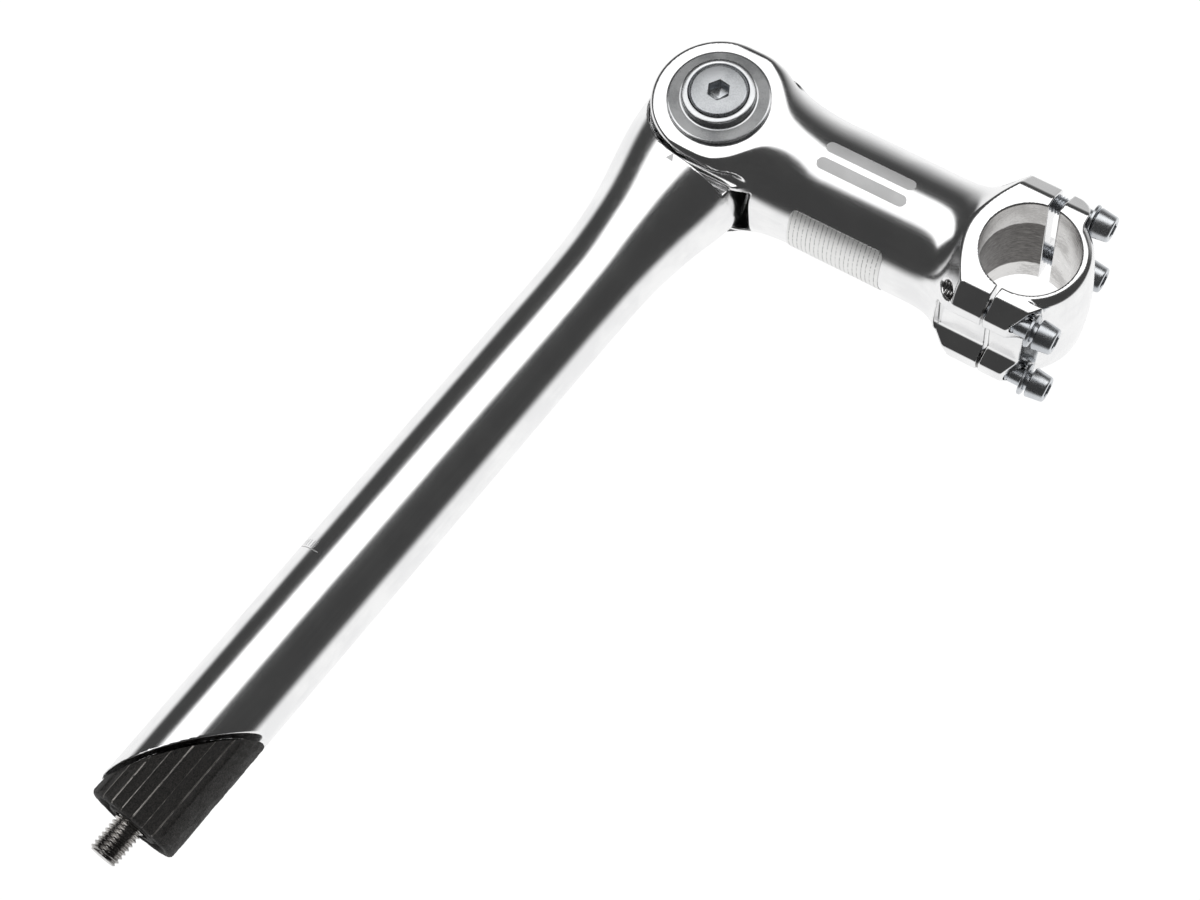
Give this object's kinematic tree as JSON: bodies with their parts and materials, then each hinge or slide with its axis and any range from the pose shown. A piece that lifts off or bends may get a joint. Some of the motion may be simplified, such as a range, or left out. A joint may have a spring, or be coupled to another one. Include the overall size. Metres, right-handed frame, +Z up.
{
  "type": "handlebar stem",
  "caption": "Adjustable quill handlebar stem with an expander wedge, a hinged arm locked by a toothed pivot, and a bolted split clamp for the bar.",
  "frame": {"origin": "on the quill's axis, at its minimum-insertion line, 155 mm below the arm's hinge", "axes": "+Z up the quill, +X forwards the way the arm points, Y along the hinge and the handlebar"},
  "size_m": [0.127, 0.0469, 0.2769],
  "materials": {
    "polished_aluminium": "mirror polished, lightly brushed along the tubes",
    "zinc_plated_steel": "satin zinc plate, bead blasted on the cap washers",
    "dark_steel": "oiled dark steel",
    "black_cast_alloy": "rough black casting",
    "label_film": "satin white film"
  },
  "bodies": {
    "quill": {"quill_stem": "polished_aluminium", "pivot_sleeve": "dark_steel", "tongue_ring_left": "dark_steel", "tongue_ring_right": "dark_steel", "expander_washer": "zinc_plated_steel"},
    "expander_bolt": {"expander_bolt": "dark_steel"},
    "wedge": {"expander_wedge": "black_cast_alloy"},
    "arm": {"arm": "polished_aluminium", "lock_ring_left": "dark_steel", "lock_ring_right": "dark_steel", "cap_washer_right": "zinc_plated_steel", "pivot_nut": "zinc_plated_steel", "label_film": "label_film"},
    "cap_washer": {"cap_washer_left": "zinc_plated_steel"},
    "pivot_bolt": {"pivot_bolt": "zinc_plated_steel"},
    "faceplate": {"faceplate": "polished_aluminium", "clamp_washer_1": "zinc_plated_steel", "clamp_washer_2": "zinc_plated_steel", "clamp_washer_3": "zinc_plated_steel", "clamp_washer_4": "zinc_plated_steel"},
    "clamp_bolt_1": {"clamp_bolt_1": "zinc_plated_steel"},
    "clamp_bolt_2": {"clamp_bolt_2": "zinc_plated_steel"},
    "clamp_bolt_3": {"clamp_bolt_3": "zinc_plated_steel"},
    "clamp_bolt_4": {"clamp_bolt_4": "zinc_plated_steel"}
  },
  "joints": [
    {"name": "arm_hinge", "type": "hinge", "parent": "quill", "child": "arm", "pos_m": [0, 0, 0.155], "axis": [0, -1, 0], "range_deg": [-7.25, 52.75]},
    {"name": "cap_slide", "type": "slide", "parent": "arm", "child": "cap_washer", "axis": [0, -1, 0], "range_m": [0, 0.0025]},
    {"name": "pivot_bolt_spin", "type": "hinge", "parent": "cap_washer", "child": "pivot_bolt", "pos_m": [0, 0, 0.155], "axis": [0, -1, 0], "range_deg": [0, 720]},
    {"name": "expander_bolt_spin", "type": "hinge", "parent": "quill", "child": "expander_bolt", "pos_m": [0, 0, 0], "axis": [0, 0, 1], "range_deg": [-288, 1728]},
    {"name": "wedge_slide", "type": "slide", "parent": "quill", "child": "wedge", "axis": [0, 0, -1], "range_m": [-0.001, 0.006]},
    {"name": "faceplate_slide", "type": "slide", "parent": "arm", "child": "faceplate", "axis": [0.992, 0, 0.1262], "range_m": [0, 0.004]},
    {"name": "clamp_bolt_1_spin", "type": "hinge", "parent": "faceplate", "child": "clamp_bolt_1", "pos_m": [0.08612, -0.014, 0.18329], "axis": [0.992, 0, 0.1262], "range_deg": [0, 1800]},
    {"name": "clamp_bolt_2_spin", "type": "hinge", "parent": "faceplate", "child": "clamp_bolt_2", "pos_m": [0.08612, 0.014, 0.18329], "axis": [0.992, 0, 0.1262], "range_deg": [0, 1800]},
    {"name": "clamp_bolt_3_spin", "type": "hinge", "parent": "faceplate", "child": "clamp_bolt_3", "pos_m": [0.09046, -0.014, 0.14917], "axis": [0.992, 0, 0.1262], "range_deg": [0, 1800]},
    {"name": "clamp_bolt_4_spin", "type": "hinge", "parent": "faceplate", "child": "clamp_bolt_4", "pos_m": [0.09046, 0.014, 0.14917], "axis": [0.992, 0, 0.1262], "range_deg": [0, 1800]}
  ],
  "couplings": [
    {"joint": "pivot_bolt_spin", "follows": "cap_slide", "rad_per_m": 5026.5},
    {"joint": "expander_bolt_spin", "follows": "wedge_slide", "rad_per_m": 5026.5},
    {"joint": "clamp_bolt_1_spin", "follows": "faceplate_slide", "rad_per_m": 7854},
    {"joint": "clamp_bolt_2_spin", "follows": "faceplate_slide", "rad_per_m": 7854},
    {"joint": "clamp_bolt_3_spin", "follows": "faceplate_slide", "rad_per_m": 7854},
    {"joint": "clamp_bolt_4_spin", "follows": "faceplate_slide", "rad_per_m": 7854}
  ]
}
